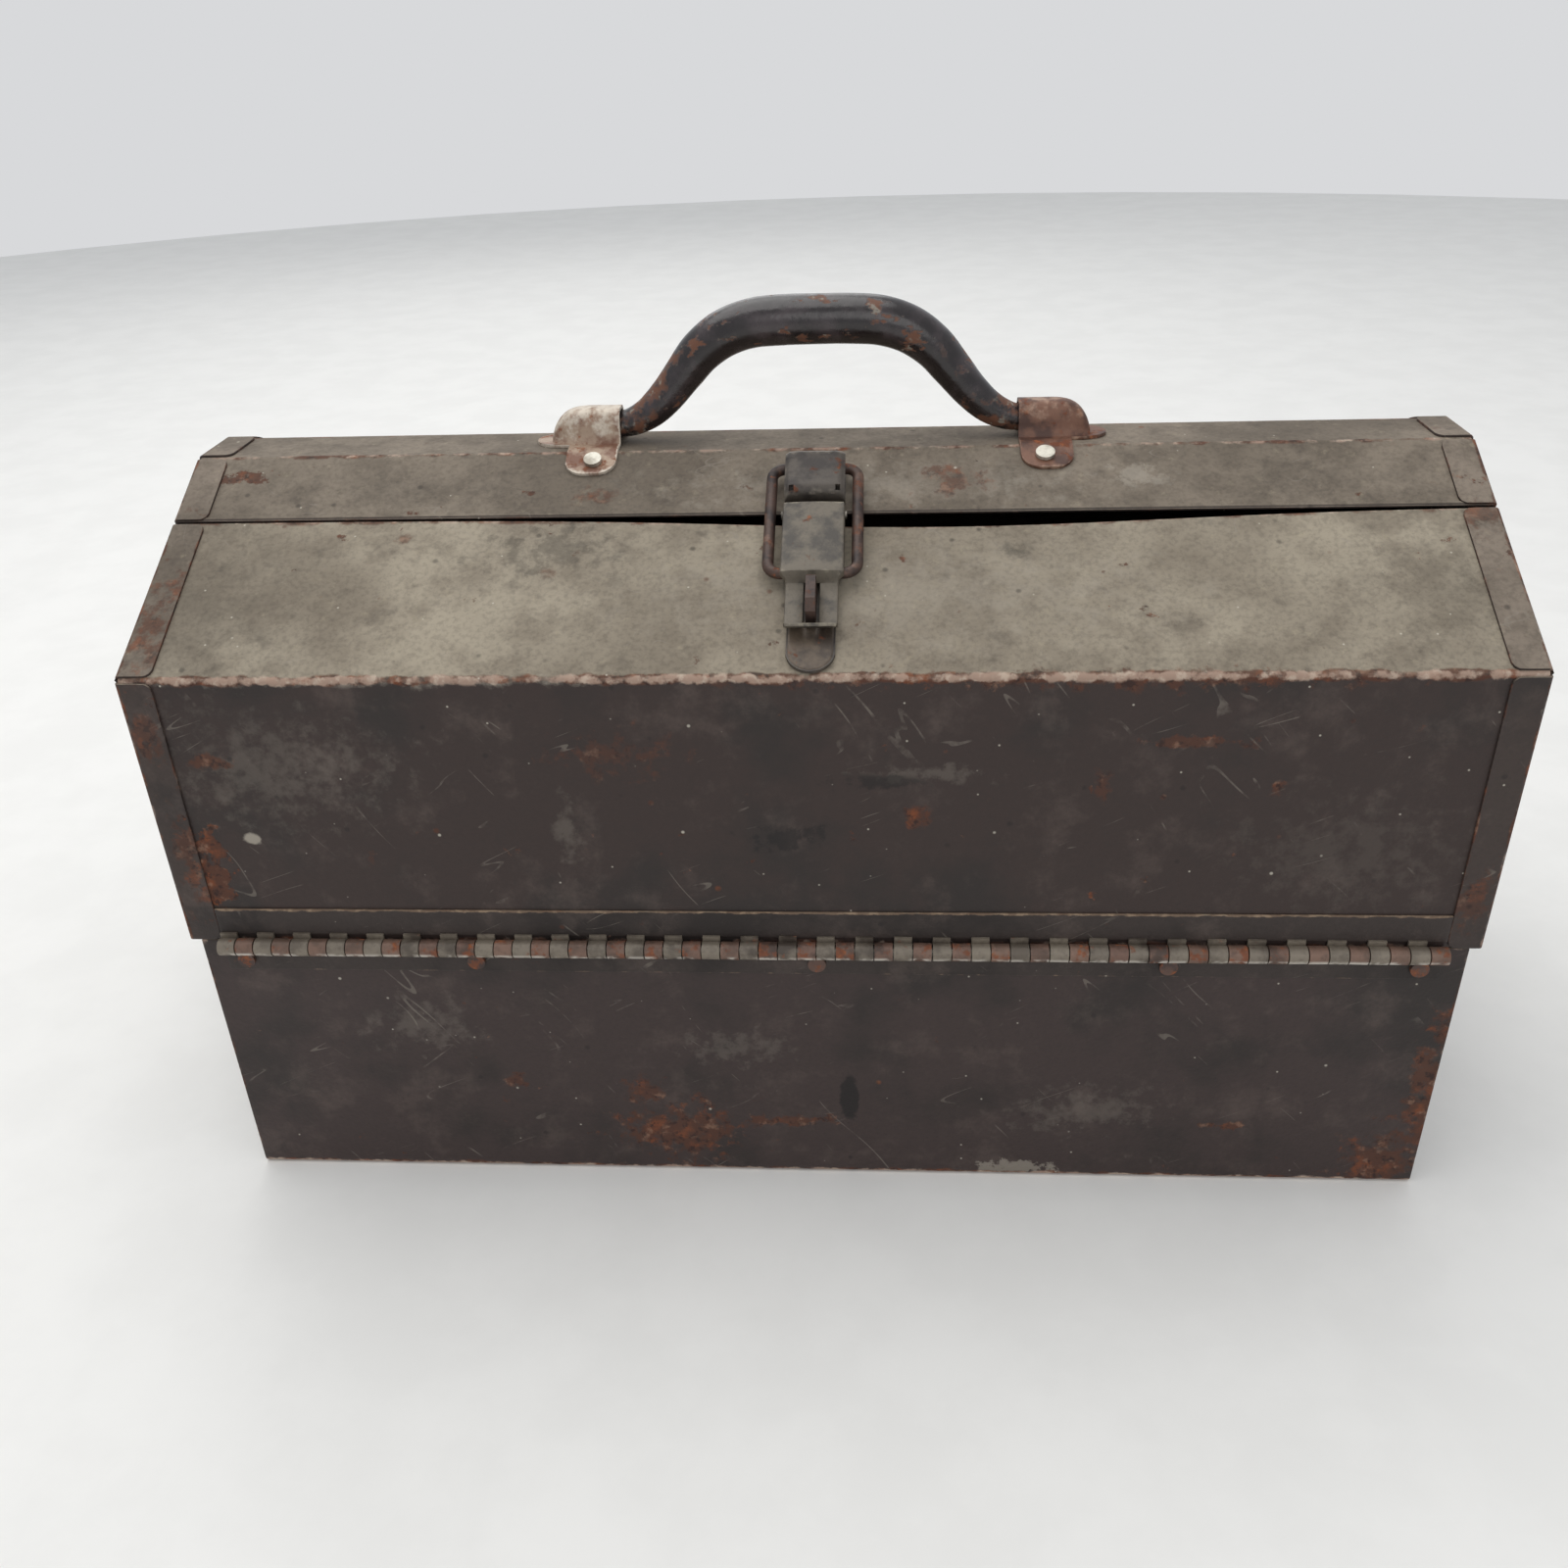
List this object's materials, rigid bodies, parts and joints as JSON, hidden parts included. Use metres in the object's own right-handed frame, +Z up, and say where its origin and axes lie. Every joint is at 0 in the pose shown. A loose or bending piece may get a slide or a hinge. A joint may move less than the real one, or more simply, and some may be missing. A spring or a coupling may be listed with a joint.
{
  "type": "metal tool box",
  "caption": "Steel cantilever tool box: gabled lid split into two hinged covers with levelled trays, draw latch, padlock eye and bowed carrying handle.",
  "frame": {"origin": "middle of the flat base, on the surface it stands on", "axes": "+X along the box to the right of the latch side, -Y out of the latch side, +Z up"},
  "size_m": [0.46, 0.2263, 0.3143],
  "materials": {
    "case_enamel": "dark brown baked wrinkle enamel, dusty and worn to rust at the folds",
    "tray_enamel": "dark brown baked enamel, semi-matt",
    "hinge_steel": "enamelled steel worn through on the knuckles",
    "bare_steel": "tarnished nickel plate",
    "latch_steel": "dull plated steel with rust and grime",
    "copper_plated_steel": "worn copper-brown plating",
    "handle_enamel": "glossy dark enamel over steel tube, chipped"
  },
  "bodies": {
    "case": {"case_shell": "case_enamel", "case_end_left": "case_enamel", "case_end_right": "case_enamel", "front_hinge_lower_leaf": "hinge_steel", "rear_hinge_lower_leaf": "hinge_steel", "front_hinge_pin": "bare_steel", "rear_hinge_pin": "bare_steel", "front_hinge_rivets": "bare_steel", "rear_hinge_rivets": "bare_steel", "arm_pivot_rivets": "bare_steel"},
    "front_cover": {"front_cover_panel": "case_enamel", "front_cover_end_left": "case_enamel", "front_cover_end_right": "case_enamel", "front_hinge_upper_leaf": "hinge_steel", "front_tray_studs": "bare_steel", "latch_base": "latch_steel", "latch_base_rivets": "bare_steel", "padlock_staple": "latch_steel", "latch_lever_pin": "bare_steel"},
    "rear_cover": {"rear_cover_panel": "case_enamel", "rear_cover_end_left": "case_enamel", "rear_cover_end_right": "case_enamel", "rear_hinge_upper_leaf": "hinge_steel", "rear_tray_studs": "bare_steel", "latch_keeper": "latch_steel", "latch_keeper_rivets": "bare_steel", "handle_ear_left": "copper_plated_steel", "handle_ear_right": "copper_plated_steel", "handle_ear_rivets": "bare_steel"},
    "handle": {"handle": "handle_enamel"},
    "latch_lever": {"latch_lever": "latch_steel"},
    "latch_bail": {"latch_bail": "latch_steel"},
    "front_lower_tray": {"front_lower_tray": "tray_enamel", "front_lower_tray_pins": "bare_steel"},
    "front_upper_tray": {"front_upper_tray": "tray_enamel", "front_upper_tray_pins": "bare_steel"},
    "front_arm_left": {"front_arm_left": "tray_enamel"},
    "front_arm_right": {"front_arm_right": "tray_enamel"},
    "rear_lower_tray": {"rear_lower_tray": "tray_enamel", "rear_lower_tray_pins": "bare_steel"},
    "rear_upper_tray": {"rear_upper_tray": "tray_enamel", "rear_upper_tray_pins": "bare_steel"},
    "rear_arm_left": {"rear_arm_left": "tray_enamel"},
    "rear_arm_right": {"rear_arm_right": "tray_enamel"}
  },
  "joints": [
    {"name": "front_cover_hinge", "type": "hinge", "parent": "case", "child": "front_cover", "pos_m": [0, -0.10985, 0.1105], "axis": [1, 0, 0], "range_deg": [0, 90]},
    {"name": "front_lower_tray_pivot", "type": "hinge", "parent": "front_cover", "child": "front_lower_tray", "pos_m": [0, -0.0836, 0.1385], "axis": [1, 0, 0], "range_deg": [-90, 0]},
    {"name": "front_upper_tray_pivot", "type": "hinge", "parent": "front_cover", "child": "front_upper_tray", "pos_m": [0, -0.04985, 0.1745], "axis": [1, 0, 0], "range_deg": [-90, 0]},
    {"name": "front_arm_left_pivot", "type": "hinge", "parent": "case", "child": "front_arm_left", "pos_m": [0, -0.072, 0.1185], "axis": [1, 0, 0], "range_deg": [0, 90]},
    {"name": "front_arm_right_pivot", "type": "hinge", "parent": "case", "child": "front_arm_right", "pos_m": [0, -0.072, 0.1185], "axis": [1, 0, 0], "range_deg": [0, 90]},
    {"name": "rear_cover_hinge", "type": "hinge", "parent": "case", "child": "rear_cover", "pos_m": [0, 0.10985, 0.1105], "axis": [-1, 0, 0], "range_deg": [0, 90]},
    {"name": "rear_lower_tray_pivot", "type": "hinge", "parent": "rear_cover", "child": "rear_lower_tray", "pos_m": [0, 0.0836, 0.1385], "axis": [-1, 0, 0], "range_deg": [-90, 0]},
    {"name": "rear_upper_tray_pivot", "type": "hinge", "parent": "rear_cover", "child": "rear_upper_tray", "pos_m": [0, 0.04985, 0.1745], "axis": [-1, 0, 0], "range_deg": [-90, 0]},
    {"name": "rear_arm_left_pivot", "type": "hinge", "parent": "case", "child": "rear_arm_left", "pos_m": [0, 0.072, 0.1185], "axis": [-1, 0, 0], "range_deg": [0, 90]},
    {"name": "rear_arm_right_pivot", "type": "hinge", "parent": "case", "child": "rear_arm_right", "pos_m": [0, 0.072, 0.1185], "axis": [-1, 0, 0], "range_deg": [0, 90]},
    {"name": "handle_swing", "type": "hinge", "parent": "rear_cover", "child": "handle", "pos_m": [0, 0, 0.2695], "axis": [-1, 0, 0], "range_deg": [-75, 85]},
    {"name": "latch_lever_pivot", "type": "hinge", "parent": "front_cover", "child": "latch_lever", "pos_m": [0, -0.04958, 0.25018], "axis": [-1, 0, 0], "range_deg": [0, 68]},
    {"name": "latch_bail_pivot", "type": "hinge", "parent": "latch_lever", "child": "latch_bail", "pos_m": [0, -0.07313, 0.23825], "axis": [-1, 0, 0], "range_deg": [-34, 0]}
  ],
  "couplings": [
    {"joint": "front_lower_tray_pivot", "follows": "front_cover_hinge", "ratio": -1},
    {"joint": "front_upper_tray_pivot", "follows": "front_cover_hinge", "ratio": -1},
    {"joint": "front_arm_left_pivot", "follows": "front_cover_hinge", "ratio": 1},
    {"joint": "front_arm_right_pivot", "follows": "front_cover_hinge", "ratio": 1},
    {"joint": "rear_lower_tray_pivot", "follows": "rear_cover_hinge", "ratio": -1},
    {"joint": "rear_upper_tray_pivot", "follows": "rear_cover_hinge", "ratio": -1},
    {"joint": "rear_arm_left_pivot", "follows": "rear_cover_hinge", "ratio": 1},
    {"joint": "rear_arm_right_pivot", "follows": "rear_cover_hinge", "ratio": 1},
    {"joint": "latch_bail_pivot", "follows": "latch_lever_pivot", "ratio": -0.5}
  ]
}
